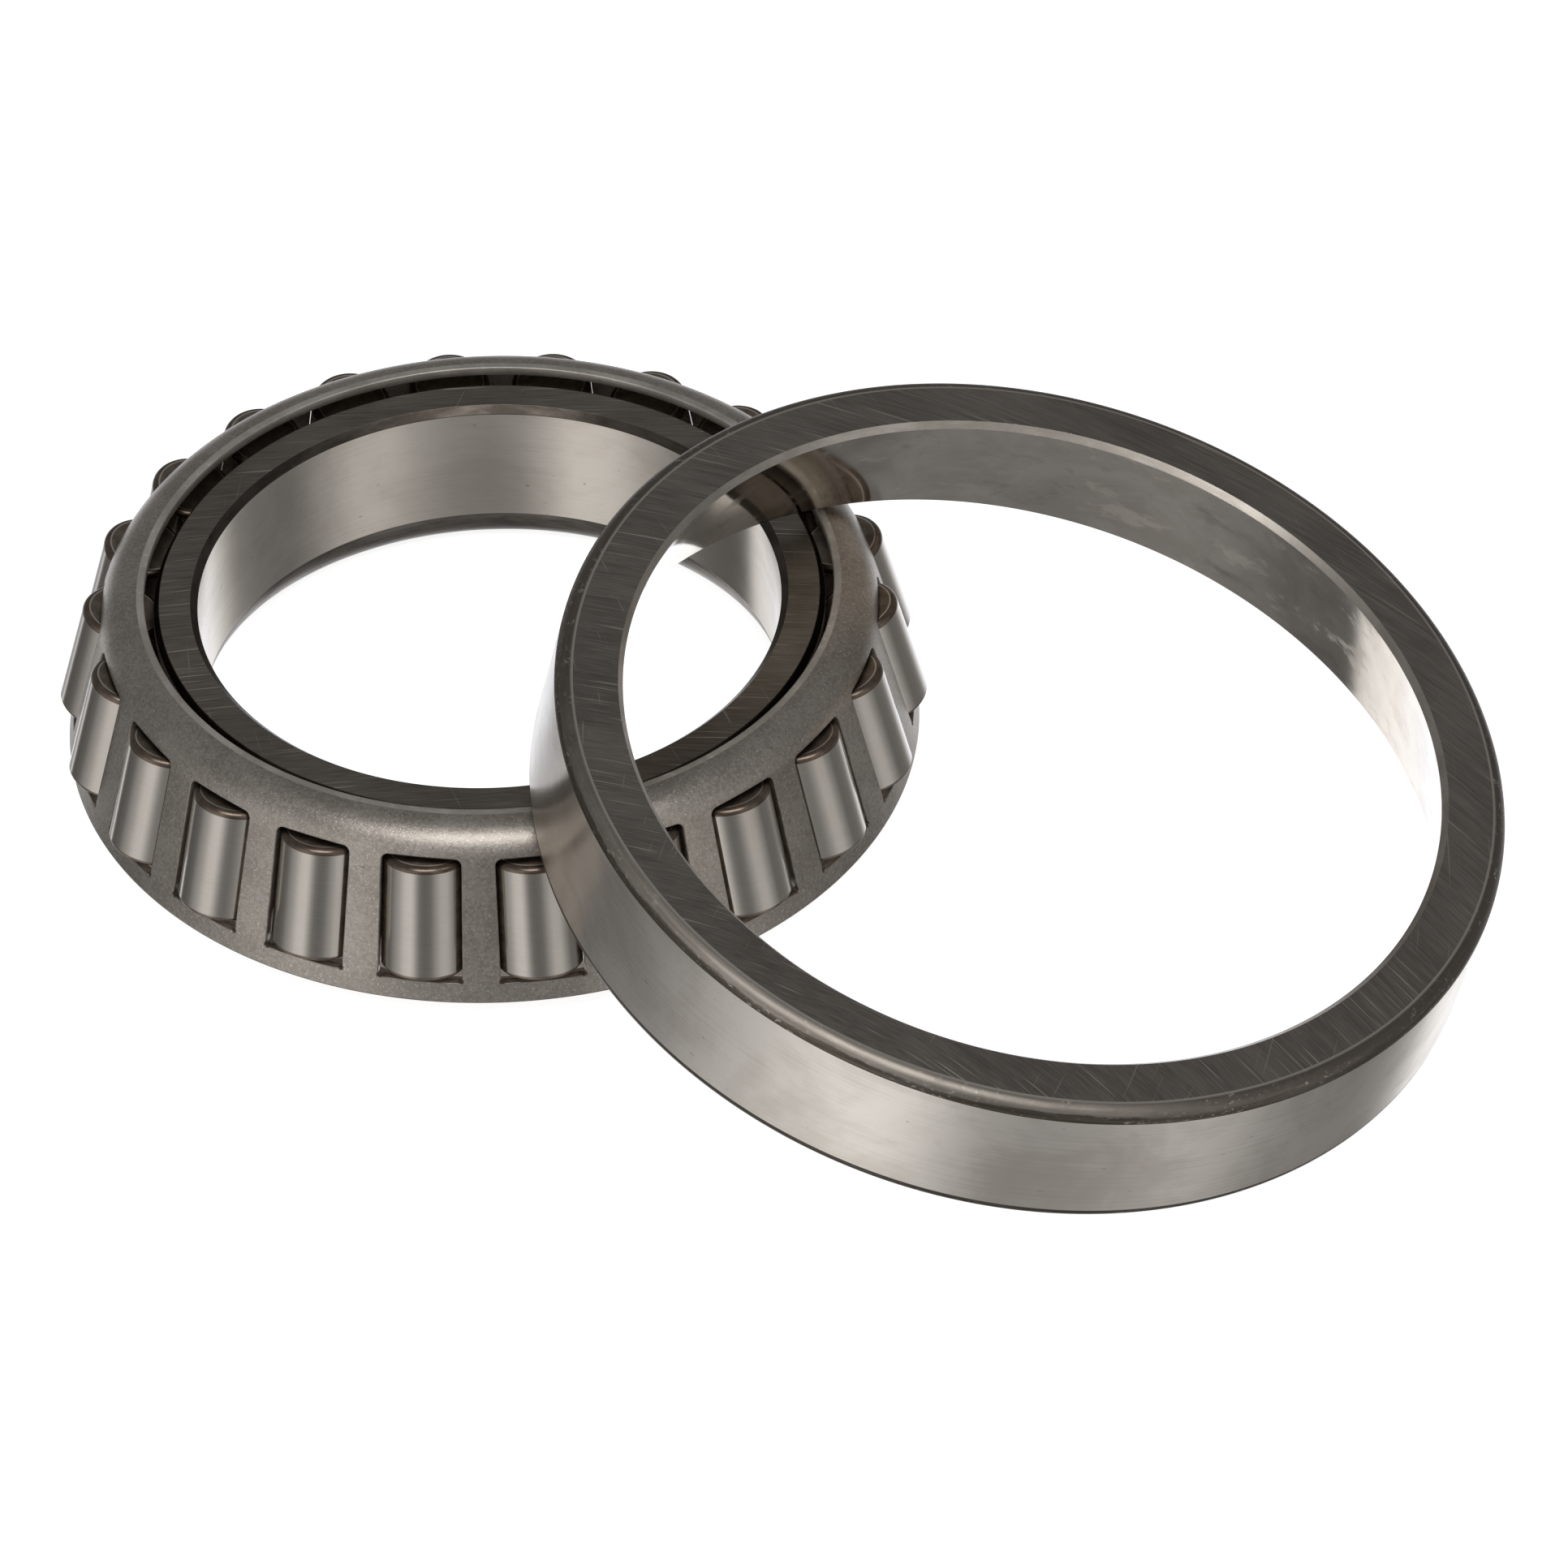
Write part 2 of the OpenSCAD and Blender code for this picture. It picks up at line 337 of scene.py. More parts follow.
def window_loop(grow):
    """The window's outline in the roller's own plane (sideways, along), grown by a distance."""
    top = ROLLER_LEN / 2 + GAP_SMALL
    low = -ROLLER_LEN / 2 - GAP_LARGE
    sx, lx, c = WINDOW_SMALL / 2, WINDOW_LARGE / 2, WINDOW_CORNER
    rc = RELIEF_R + grow
    cx, cy = lx - RELIEF_R / 2, low + RELIEF_R / 2
    slope = (sx - lx) / (top - low)
    half = []
    # from the middle of the lower edge to the middle of the upper edge, on the right
    y_low = low - grow
    x_meet = cx - math.sqrt(max(rc * rc - (cy - y_low) ** 2, 0))
    for t in np.linspace(0, 1, 9)[:-1]:
        half.append((x_meet * t, y_low))
    a0 = math.atan2(y_low - cy, x_meet - cx)
    x_side = lx + grow
    a1 = math.acos(min(1, (x_side - cx) / rc))
    for t in np.linspace(0, 1, 9)[:-1]:
        a = a0 + (a1 - a0) * t
        half.append((cx + rc * math.cos(a), cy + rc * math.sin(a)))
    y_side = cy + rc * math.sin(a1)
    for t in np.linspace(0, 1, 17)[:-1]:
        y = y_side + (top - c - y_side) * t
        half.append((lx + grow + slope * (y - low), y))
    for t in np.linspace(0, 1, 7)[:-1]:
        a = math.pi / 2 * t
        half.append((sx - c + (c + grow) * math.cos(a), top - c + (c + grow) * math.sin(a)))
    for t in np.linspace(0, 1, 9):
        half.append(((sx - c) * (1 - t), top + grow))
    right = np.array(half)
    left = right[1:-1][::-1] * np.array([-1, 1])
    return np.concatenate([right, left])


def on_wall(loop, depth):
    """Points of a window loop carried along the roller's radial direction on to the cage's wall,
    at a depth below its outer surface. Gives (radius, turn, height)."""
    x = np.full(len(loop), 4.0)
    y, along = loop[:, 0], loop[:, 1]
    for _ in range(60):
        radial = PITCH_R + x * math.cos(ROLLER_TILT) - along * math.sin(ROLLER_TILT)
        height = PITCH_Z + x * math.sin(ROLLER_TILT) + along * math.cos(ROLLER_TILT)
        x = x + (wall_depth(np.hypot(radial, y), height) - depth) * 0.8
    radial = PITCH_R + x * math.cos(ROLLER_TILT) - along * math.sin(ROLLER_TILT)
    height = PITCH_Z + x * math.sin(ROLLER_TILT) + along * math.cos(ROLLER_TILT)
    return np.stack([np.hypot(radial, y), np.arctan2(y, radial), height], 1)


class Sheet:
    """Collects the cage's mesh: points are (radius, turn, height) in millimetres."""

    def __init__(self):
        self.co, self.faces, self.zones = [], [], []

    def add(self, pts):
        start = len(self.co)
        for r, t, z in pts:
            self.co.append((r * math.cos(t) * MM, r * math.sin(t) * MM, z * MM))
        return list(range(start, start + len(pts)))

    def ring(self, a, b, zone):
        """A closed band of quads between two loops."""
        for k in range(len(a)):
            k2 = (k + 1) % len(a)
            self.faces.append((a[k], a[k2], b[k2], b[k]))
            self.zones.append(zone)


def square_up(loop):
    """The window loop's points carried out on to a square of half-side 1."""
    t, z = loop[:, 1], loop[:, 2]
    u = t / np.abs(t).max()
    v = (z - (z.max() + z.min()) / 2) / ((z.max() - z.min()) / 2)
    m = np.maximum(np.abs(u), np.abs(v))
    u, v = u / m, v / m
    for cu in (-1, 1):
        for cv in (-1, 1):
            k = int(np.argmin((u - cu) ** 2 + (v - cv) ** 2))
            u[k], v[k] = cu, cv
    return u, v


def frame_loop(square, depth, top_z, low_z):
    """The sector's border, one point for each point of the window loop."""
    u, v = square
    z = (top_z + low_z) / 2 + v * (top_z - low_z) / 2
    return np.stack([wall_r(z, depth), u * TAU / ROLLERS / 2, z], 1)


# zones of the cage, which are also its material slots
OUTSIDE, INSIDE, EDGE, LIP_CUT = range(4)


def smooth_wall(mesh):
    """Exact normals on the cone and the bend; the cut edges keep the mesh's own."""
    centre = bend_centre()
    normals = np.zeros((len(mesh.loops), 3))
    for p in mesh.polygons:
        if p.material_index not in (OUTSIDE, INSIDE):
            continue
        sign = 1 if p.material_index == OUTSIDE else -1
        for loop in p.loop_indices:
            x, y, z = (v / MM for v in mesh.vertices[mesh.loops[loop].vertex_index].co)
            r = math.hypot(x, y)
            out, up = CAGE_N
            away = np.array([max(r - centre[0], 0.0), z - centre[1]])
            if math.atan2(away[1], away[0]) > CAGE_ANGLE:
                out, up = away / np.linalg.norm(away)
            normals[loop] = (sign * out * x / r, sign * out * y / r, sign * up)
    mesh.normals_split_custom_set(normals.tolist())


def sector(sheet, square, turn, columns):
    """One window with its soft cut edge, and the wall round it out to the sector's border."""
    centre = bend_centre()

    def add_turned(pts):
        moved = np.array(pts, float).copy()
        moved[:, 1] += turn
        return sheet.add(moved)

    soft = EDGE_SOFT
    cut = ((0.0, soft), (soft * 0.12, soft * 0.5), (soft * 0.5, soft * 0.12), (soft, 0.0),
           (CAGE_T - soft, 0.0), (CAGE_T - soft * 0.5, soft * 0.12), (CAGE_T, soft))
    loops = [add_turned(on_wall(window_loop(grow), depth)) for depth, grow in cut]
    for a, b in zip(loops, loops[1:]):
        sheet.ring(b, a, EDGE)
    for depth, last, side in ((0.0, loops[0], "out"), (CAGE_T, loops[-1], "in")):
        window = on_wall(window_loop(soft), depth)
        top_z = centre[1] + (BEND_R - depth) * math.sin(SECTOR_TOP)
        border = frame_loop(square, depth, top_z, CAGE_BOTTOM + SECTOR_BOTTOM)
        for t in (0.15, 0.4, 0.7, 1.0):
            between = window * (1 - t) + border * t
            between[:, 0] = wall_r(between[:, 2], depth)
            now = add_turned(between)
            if side == "in":
                sheet.ring(now, last, INSIDE)
            else:
                sheet.ring(last, now, OUTSIDE)
            last = now
        u, v = square
        for edge, on_edge in (("top", v > 1 - 1e-9), ("low", v < -1 + 1e-9)):
            row = [last[k] for k in sorted(np.where(on_edge)[0], key=lambda k: u[k])]
            columns.setdefault(side + "_" + edge, []).extend(row[:-1])


def build_cage(mats):
    centre = bend_centre()
    sheet = Sheet()
    square = square_up(on_wall(window_loop(EDGE_SOFT), 0.0))
    # full circles of border points; points that neighbours share are merged at the end
    columns = {}
    for i in range(ROLLERS):
        sector(sheet, square, FIRST_ROLLER + i * TAU / ROLLERS, columns)
    out_top, out_low = columns["out_top"], columns["out_low"]
    in_top, in_low = columns["in_top"], columns["in_low"]

    def sweep(profile, like):
        turns = [math.atan2(sheet.co[v][1], sheet.co[v][0]) for v in like]
        return [sheet.add([(r, t, z) for t in turns]) for r, z in profile]

    def rings(rows, zone):
        for a, b in zip(rows, rows[1:]):
            sheet.ring(a, b, zone)

    # over the bend, round the lip's edge and back under it
    outer = []
    for a in np.linspace(SECTOR_TOP, math.pi / 2, 12)[1:]:
        outer.append((centre[0] + BEND_R * math.cos(a), centre[1] + BEND_R * math.sin(a)))
    for r in np.linspace(outer[-1][0], LIP_R + LIP_SOFT, 4)[1:]:
        outer.append((r, CAGE_TOP))
    lip_under = CAGE_TOP - CAGE_T
    lip = [(LIP_R + 0.05, CAGE_TOP - 0.04), (LIP_R, CAGE_TOP - LIP_SOFT),
           (LIP_R, CAGE_TOP - CAGE_T * 0.5),
           (LIP_R, lip_under + LIP_BACK), (LIP_R + LIP_BACK, lip_under)]
    under = [(r, lip_under) for r in np.linspace(LIP_R + LIP_BACK, centre[0], 4)[1:]]
    inner_r = BEND_R - CAGE_T
    for a in np.linspace(math.pi / 2, SECTOR_TOP, 9)[1:-1]:
        under.append((centre[0] + inner_r * math.cos(a), centre[1] + inner_r * math.sin(a)))
    rows = sweep(outer, out_top)
    sheet.ring(out_top, rows[0], OUTSIDE)
    for k, (a, b) in enumerate(zip(rows, rows[1:])):
        sheet.ring(a, b, OUTSIDE if outer[k][0] > centre[0] + 0.6 else LIP_CUT)
    lip_rows = sweep(lip, out_top)
    rings([rows[-1]] + lip_rows, LIP_CUT)
    under_rows = sweep(under, out_top)
    rings([lip_rows[-1]] + under_rows + [in_top], INSIDE)

    # the lower edge, square to the wall with soft corners
    wall_top = centre + CAGE_N * BEND_R
    down = np.array([math.sin(CAGE_ANGLE), -math.cos(CAGE_ANGLE)])
    bottom = wall_top + down * (wall_top[1] - CAGE_BOTTOM) / math.cos(CAGE_ANGLE)
    edge = []
    for depth, up in ((0.0, EDGE_CHAMFER), (0.06, 0.06), (EDGE_CHAMFER, 0.0),
                      (CAGE_T - EDGE_CHAMFER, 0.0), (CAGE_T - 0.06, 0.06), (CAGE_T, EDGE_CHAMFER)):
        p = bottom - CAGE_N * depth - down * up
        edge.append((p[0], p[1]))
    edge_rows = sweep(edge, out_low)
    sheet.ring(edge_rows[0], out_low, OUTSIDE)
    for a, b in zip(edge_rows, edge_rows[1:]):
        sheet.ring(b, a, EDGE)
    sheet.ring(in_low, edge_rows[-1], INSIDE)

    mesh = bpy.data.meshes.new("cage_pressed")
    mesh.from_pydata(sheet.co, [], sheet.faces)
    mesh.polygons.foreach_set("use_smooth", [True] * len(sheet.faces))
    mesh.polygons.foreach_set("material_index", sheet.zones)
    bm = bmesh.new()
    bm.from_mesh(mesh)
    bmesh.ops.remove_doubles(bm, verts=bm.verts, dist=2e-6)
    bmesh.ops.recalc_face_normals(bm, faces=bm.faces)
    bm.to_mesh(mesh)
    bm.free()
    smooth_wall(mesh)
    cage = add_object("cage_pressed", mesh)
    cage.matrix_world = ring_frame()
    dress(cage, mats, "cage", "cage")
    return cage


# ---------------------------------------------------------------- materials
class Nodes:
    """Helpers that add nodes to a tree."""

    def __init__(self, tree):
        self.tree = tree

    def feed(self, socket, value):
        if isinstance(value, bpy.types.NodeSocket):
            self.tree.links.new(value, socket)
        else:
            socket.default_value = value

    def math(self, op, a, b=0.0, c=0.0):
        n = self.tree.nodes.new("ShaderNodeMath")
        n.operation = op
        for k, v in enumerate((a, b, c)):
            self.feed(n.inputs[k], v)
        return n.outputs[0]

    def product(self, first, *others):
        for other in others:
            first = self.math("MULTIPLY", first, other)
        return first

    def blend(self, a, share_a, b, share_b):
        return self.math("ADD", self.math("MULTIPLY", a, share_a), self.math("MULTIPLY", b, share_b))

    def length(self, x, y):
        """How far (x, y) is from the origin."""
        return self.math("SQRT", self.math("ADD", self.math("MULTIPLY", x, x),
                                           self.math("MULTIPLY", y, y)))

    def vector(self, x, y, z):
        n = self.tree.nodes.new("ShaderNodeCombineXYZ")
        for k, v in enumerate((x, y, z)):
            self.feed(n.inputs[k], v)
        return n.outputs[0]

    def stretched(self, point, scales, offset=0.0):
        parts = [self.math("MULTIPLY_ADD", p, k, offset) for p, k in zip(point, scales)]
        return self.vector(*parts)

    def noise(self, vector, detail=2.0, rough=0.5, bend=0.0):
        n = self.tree.nodes.new("ShaderNodeTexNoise")
        self.feed(n.inputs["Vector"], vector)
        n.inputs["Scale"].default_value = 1.0
        n.inputs["Detail"].default_value = detail
        n.inputs["Roughness"].default_value = rough
        n.inputs["Distortion"].default_value = bend
        return n.outputs["Fac"]

    def span(self, value, low, high, to_low=0.0, to_high=1.0):
        n = self.tree.nodes.new("ShaderNodeMapRange")
        n.interpolation_type = "SMOOTHSTEP"
        self.feed(n.inputs["Value"], value)
        for key, v in (("From Min", low), ("From Max", high), ("To Min", to_low),
                       ("To Max", to_high)):
            self.feed(n.inputs[key], v)
        return n.outputs["Result"]

    def mix(self, fac, a, b):
        n = self.tree.nodes.new("ShaderNodeMix")
        n.data_type = "RGBA"
        self.feed(n.inputs["Factor"], fac)
        self.feed(n.inputs[6], a if isinstance(a, bpy.types.NodeSocket) else (*a, 1))
        self.feed(n.inputs[7], b if isinstance(b, bpy.types.NodeSocket) else (*b, 1))
        return n.outputs[2]

    def ramp(self, value, stops):
        n = self.tree.nodes.new("ShaderNodeValToRGB")
        self.feed(n.inputs["Fac"], value)
        elements = n.color_ramp.elements
        while len(elements) < len(stops):
            elements.new(0.5)
        for e, (place, tone) in zip(elements, stops):
            e.position = place
            e.color = (tone, tone, tone, 1)
        return n.outputs["Color"]


def dimmed(colour, share):
    return tuple(share * v for v in colour)


class Net(Nodes):
    """A material's node tree, with lengths in millimetres in the piece's own frame."""

    def __init__(self, name):
        self.material = bpy.data.materials.new(name)
        self.material.use_nodes = True
        super().__init__(self.material.node_tree)
        self.shader = self.tree.nodes["Principled BSDF"]
        self.shader.inputs["Metallic"].default_value = 1.0

    def place(self):
        """The point in millimetres: (x, y, z) sockets."""
        coord = self.tree.nodes.new("ShaderNodeTexCoord")
        scale = self.tree.nodes.new("ShaderNodeVectorMath")
        scale.operation = "SCALE"
        self.feed(scale.inputs[0], coord.outputs["Object"])
        scale.inputs["Scale"].default_value = 1 / MM
        split = self.tree.nodes.new("ShaderNodeSeparateXYZ")
        self.feed(split.inputs[0], scale.outputs[0])
        return split.outputs[0], split.outputs[1], split.outputs[2]

    def turned_grain(self, amount):
        """Reflections drawn out along the axis, as rings of grinding do."""
        tangent = self.tree.nodes.new("ShaderNodeTangent")
        tangent.direction_type = "RADIAL"
        tangent.axis = "Z"
        self.feed(self.shader.inputs["Tangent"], tangent.outputs[0])
        self.shader.inputs["Anisotropic"].default_value = amount
        self.shader.inputs["Anisotropic Rotation"].default_value = 0.25

    def bump(self, height, depth_um, strength=1.0, below=None):
        n = self.tree.nodes.new("ShaderNodeBump")
        n.inputs["Strength"].default_value = strength
        n.inputs["Distance"].default_value = depth_um * 1e-6
        self.feed(n.inputs["Height"], height)
        if below is not None:
            self.feed(n.inputs["Normal"], below)
        return n.outputs["Normal"]

    def finish(self, colour, rough, normal=None):
        self.feed(self.shader.inputs["Base Color"], colour)
        self.feed(self.shader.inputs["Roughness"], rough)
        if normal is not None:
            self.feed(self.shader.inputs["Normal"], normal)
        return self.material


def arc_lines(net, point, centre):
    """Distance from a grinding wheel's centre and length along its arc, in millimetres."""
    x = net.math("SUBTRACT", point[0], centre[0])
    y = net.math("SUBTRACT", point[1], centre[1])
    along = net.math("MULTIPLY", net.math("ARCTAN2", y, x), math.hypot(*centre))
    return net.length(x, y), along


def ground_face(name, centre, cross, dark, light, rough):
    """A face ground with arcs that sweep across it, with some long pale scratches."""
    net = Net(name)
    point = net.place()
    arcs = arc_lines(net, point, centre)
    crossing = arc_lines(net, point, cross)

    def lines(across, length, at, seed, detail=2.0):
        over, run = at
        where = net.vector(net.math("MULTIPLY", over, across), net.math("MULTIPLY", run, length), seed)
        return net.noise(where, detail, 0.6)

    fine = lines(6.5, 0.20, arcs, 0.0, 3.0)
    band = lines(0.8, 0.04, arcs, 4.0)
    cut = lines(3.6, 0.06, arcs, 9.0, 1.0)
    cross_cut = lines(2.8, 0.08, crossing, 2.0, 1.0)
    cloud = net.noise(net.stretched(point, (0.06, 0.06, 0.06)), 4.0, 0.6)
    tone = net.math("ADD", net.blend(fine, 0.5, band, 0.2), net.math("MULTIPLY", cloud, 0.3))
    colour = net.mix(net.span(tone, 0.36, 0.64), dark, light)
    pale = net.math("MAXIMUM", net.span(cut, 0.64, 0.75),
                    net.math("MULTIPLY", net.span(cross_cut, 0.67, 0.77), 0.5))
    colour = net.mix(net.math("MULTIPLY", pale, 0.8), colour, (0.66, 0.615, 0.56))
    r = net.math("MULTIPLY_ADD", cloud, 0.12, rough - 0.06)
    height = net.math("SUBTRACT", fine, net.math("MULTIPLY", pale, 0.4))
    return net.finish(colour, r, net.bump(height, 5.0))


def ground_turned(name, dark, light, rough, lines=4.0, cloud_mm=14.0, seed=0.0, depth=0.8):
    """A cylinder or cone ground round its axis: fine rings, and a cloudy, handled satin."""
    net = Net(name)
    net.turned_grain(0.55)
    point = net.place()
    fine = net.noise(net.stretched(point, (0.05, 0.05, lines), seed), 3.0, 0.6)
    cloud = net.noise(net.stretched(point, (1 / cloud_mm,) * 3, seed + 7), 4.0, 0.6, 0.4)
    stain = net.noise(net.stretched(point, (0.11, 0.11, 0.16), seed + 11), 5.0, 0.68, 0.6)
    nick = net.noise(net.stretched(point, (0.8, 0.8, 1.6), seed + 17), 1.0)
    tone = net.blend(cloud, 0.8, fine, 0.2)
    browned = (dark[0], dark[1] * 0.93, dark[2] * 0.86)
    colour = net.mix(net.span(tone, 0.38, 0.62), dark, light)
    colour = net.mix(net.span(stain, 0.58, 0.72, 0.0, 0.35), colour, browned)
    colour = net.mix(net.span(nick, 0.76, 0.80, 0.0, 0.5), colour, dimmed(dark, 0.55))
    r = net.math("MULTIPLY_ADD", stain, 0.10, rough - 0.05)
    return net.finish(colour, r, net.bump(fine, depth))


def raceway(name, dark, light, rough):
    """A lapped raceway: near a mirror, with faint rings and patches of dried oil."""
    net = Net(name)
    point = net.place()
    fine = net.noise(net.stretched(point, (0.06, 0.06, 6.0)), 2.0)
    cloud = net.noise(net.stretched(point, (0.10, 0.10, 0.10), 5.0), 4.0, 0.62, 0.5)
    patch = net.noise(net.stretched(point, (0.11, 0.11, 0.20), 21.0), 5.0, 0.68, 0.2)
    stain = net.span(patch, 0.54, 0.66)
    colour = net.mix(net.span(cloud, 0.35, 0.65), dark, light)
    colour = net.mix(net.span(patch, 0.30, 0.44, 0.55, 0.0), colour, dimmed(dark, 0.6))
    colour = net.mix(net.math("MULTIPLY", stain, 0.45), colour, (0.68, 0.61, 0.53))
    r = net.math("MULTIPLY_ADD", fine, 0.03, rough)
    r = net.math("MULTIPLY_ADD", stain, 0.16, r)
    r = net.math("ADD", r, net.span(cloud, 0.5, 0.8, 0.0, 0.06))
    return net.finish(colour, r, net.bump(fine, 0.4))


def worn_edge(name, dark, mid, bright, rough, wear=0.66, oil=0.0):
    """A blackened edge, worn bright in small flecks where it is handled."""
    net = Net(name)
    net.shader.inputs["Metallic"].default_value = 1.0 - oil
    point = net.place()
    blot = net.noise(net.stretched(point, (0.14, 0.14, 0.5), 3.0), 5.0, 0.65, 0.3)
    fleck = net.noise(net.stretched(point, (1.3, 1.3, 2.4), 8.0), 3.0, 0.65)
    ring = net.noise(net.stretched(point, (0.08, 0.08, 5.0), 1.0), 2.0)
    colour = net.mix(net.span(blot, 0.36, 0.64), dark, mid)
    worn = net.product(net.span(fleck, wear, wear + 0.12), net.span(blot, 0.45, 0.6, 0.15, 0.8))
    colour = net.mix(worn, colour, bright)
    r = net.math("MULTIPLY_ADD", blot, -0.12, rough + 0.06)
    return net.finish(colour, r, net.bump(ring, 1.2))


def cup_corner(name):
    """The cup's rounded corner: painted shade beside the cylinder, a painted highlight towards the face,
    and a painted highlight line where it meets the face, with flecks of wear.
    The painted highlight is palest on the -Y side, which faces the front light, and that side turns with
    the cup."""
    net = Net(name)
    x, y, z = point = net.place()
    reach = net.length(x, y)
    out = net.math("SUBTRACT", reach, OUTER_R - CUP_CORNER)
    middle = CUP_W / 2 - CUP_CORNER
    up = net.math("SUBTRACT", net.math("ABSOLUTE", net.math("SUBTRACT", z, CUP_W / 2)), middle)
    lean = net.math("ARCTAN2", up, out)
    blot = net.noise(net.stretched(point, (0.10, 0.10, 0.3), 3.0), 5.0, 0.68, 0.4)
    turn = net.math("MULTIPLY", net.math("ARCTAN2", y, x), OUTER_R * 0.10)
    streak = net.noise(net.vector(net.math("MULTIPLY", lean, 5.0), turn, 0.0), 3.0)
    fleck = net.noise(net.stretched(point, (1.1, 1.1, 3.0), 8.0), 4.0, 0.7)
    wander = net.math("MULTIPLY_ADD", blot, 0.9, -0.45)
    place = net.math("ADD", lean, wander)
    # painted highlight: the handled mask makes the corner palest on its -Y side, which faces the front
    # light
    side = net.math("DIVIDE", y, reach)
    handled = net.span(net.math("MULTIPLY_ADD", blot, 0.8, side), -0.60, -0.10, 1.0, 0.0)
    pale = net.mix(handled, (0.15, 0.13, 0.11), (0.37, 0.335, 0.295))
    # painted shade beside the cylinder and painted highlight towards the face, by the corner's lean
    colour = net.mix(net.span(place, 0.42, 0.62), (0.09, 0.076, 0.06), pale)
    colour = net.mix(net.span(streak, 0.35, 0.65, 0.0, 0.45), colour, (0.20, 0.175, 0.15))
    worn = net.product(net.span(fleck, 0.56, 0.70), net.span(blot, 0.44, 0.6, 0.1, 0.8))
    colour = net.mix(worn, colour, (0.62, 0.58, 0.52))
    # a painted highlight line along the corner's edge at the face
    colour = net.mix(net.span(lean, 1.34, 1.50, 0.0, 0.8), colour, (0.60, 0.56, 0.51))
    r = net.math("MULTIPLY_ADD", blot, 0.20, 0.34)
    return net.finish(colour, r, net.bump(streak, 4.0))


def pressed_sheet(name, dark, light, rough, oil=0.0):
    """Tumbled sheet steel: a fine dimpled satin with bright specks."""
    net = Net(name)
    net.shader.inputs["Metallic"].default_value = 1.0 - oil
    point = net.place()
    grain = net.noise(net.stretched(point, (2.2, 2.2, 2.2)), 3.0, 0.75)
    speck = net.noise(net.stretched(point, (4.5, 4.5, 4.5), 6.0), 2.0)
    cloud = net.noise(net.stretched(point, (0.13, 0.13, 0.13), 12.0), 4.0, 0.6)
    pit = net.noise(net.stretched(point, (1.5, 1.5, 1.5), 31.0), 2.0)
    tone = net.blend(grain, 0.6, cloud, 0.4)
    bright = tuple(min(1.7 * v, 0.75) for v in light)
    colour = net.mix(net.span(tone, 0.40, 0.60), dark, light)
    colour = net.mix(net.span(speck, 0.60, 0.72, 0.0, 0.75), colour, bright)
    colour = net.mix(net.span(pit, 0.68, 0.76, 0.0, 0.5), colour, dimmed(dark, 0.5))
    r = net.math("MULTIPLY_ADD", grain, 0.16, rough - 0.08)
    height = net.math("ADD", grain, net.math("MULTIPLY", speck, 0.6))
    return net.finish(colour, r, net.bump(height, 22.0))


def roller_side(name, dark, light, rough):
    """A lapped roller: polished, with hair-fine rings."""
    net = Net(name)
    net.turned_grain(0.5)
    point = net.place()
    fine = net.noise(net.stretched(point, (0.25, 0.25, 7.0)), 3.0, 0.6)
    cloud = net.noise(net.stretched(point, (0.25, 0.25, 0.18), 2.0), 3.0)
    tone = net.blend(fine, 0.5, cloud, 0.5)
    r = net.math("MULTIPLY_ADD", fine, 0.05, rough - 0.03)
    return net.finish(net.mix(tone, dark, light), r, net.bump(fine, 0.5))


def roller_end(name, dark, light, rim, rough):
    """A roller's end or corner: browned and turned, with a painted highlight line where the corner meets
    the end.
    """
    net = Net(name)
    x, y, z = net.place()
    reach = net.length(x, y)
    rings = net.noise(net.vector(net.math("MULTIPLY", reach, 5.0), 0.0, 0.0), 2.0)
    cloud = net.noise(net.stretched((x, y, z), (0.5, 0.5, 0.5)), 3.0)
    colour = net.mix(net.span(cloud, 0.3, 0.7), dark, light)
    # painted highlight: the rim colour is a bright line painted where the corner meets the end
    flat_r = roller_r(ROLLER_LEN / 2) - SMALL_CORNER + 0.06
    edge = net.math("ABSOLUTE", net.math("SUBTRACT", reach, flat_r))
    colour = net.mix(net.span(edge, 0.05, 0.13, 0.9, 0.0), colour, rim)
    return net.finish(colour, net.math("MULTIPLY_ADD", rings, 0.14, rough), net.bump(rings, 3.0))


# ---------------------------------------------------------------- floor, light and camera
FLOOR_HALF = 6.0
PAPER_GLOW = 0.85
PAPER, PAPER_LIGHT = (0.9, 0.9, 0.9), (1, 1, 1)
# the paper under the rollers and the cage lies in deep shade, from the ring's foot to SHADE_R
SHADED_PAPER, SHADED_LIGHT = (0.06, 0.05, 0.04), (0.05, 0.04, 0.032)
FOOT_R, SHADE_R = BORE_R + BACK_ROUND_W, 45.6

CAMERA_AZIMUTH, CAMERA_ELEVATION = math.radians(30.95), math.radians(41.1145)
CAMERA_ROLL = -0.01471
CAMERA_PLACE = (0.422515, -0.638268, 0.647820)
CAMERA_LENS = 195.44
# direction of the camera seen from above, from +X
CAMERA_TURN = math.radians(-59.05)

# the light round the object: (degrees to the right of straight behind it, brightness)
ROUND_LIGHT = (
    (-180, 0.34), (-168, 0.40), (-157, 0.66), (-146, 0.98), (-130, 0.92), (-114, 0.58),
    (-100, 0.40), (-88, 0.22), (-70, 0.15), (-54, 0.13), (-53, 1.0), (-40, 1.35), (30, 1.35),
    (43, 0.9), (57, 0.34), (72, 0.24), (95, 0.22), (110, 0.45), (124, 0.72), (140, 0.72),
    (152, 0.50), (165, 0.38), (180, 0.34))
DIM_FRONT = 0.45
UNDER_LIGHT, OVER_LIGHT = 0.24, 0.23
# two dark cards below the horizon, for the cup's outside: the first greys its far left, the
# second darkens its right end. Each is its left and right edge as shares of a full turn, its
# lower and upper edge, strength and brightness. An edge is (start, end) of a soft fade, or None.
CARDS = (
    ((0.366, 0.385), (0.41, 0.445), (-0.64, -0.59), (-0.50, -0.42), 0.75, 0.06),
    ((0.59, 0.62), (0.68, 0.72), None, (-0.79, -0.72), 0.85, 0.16))


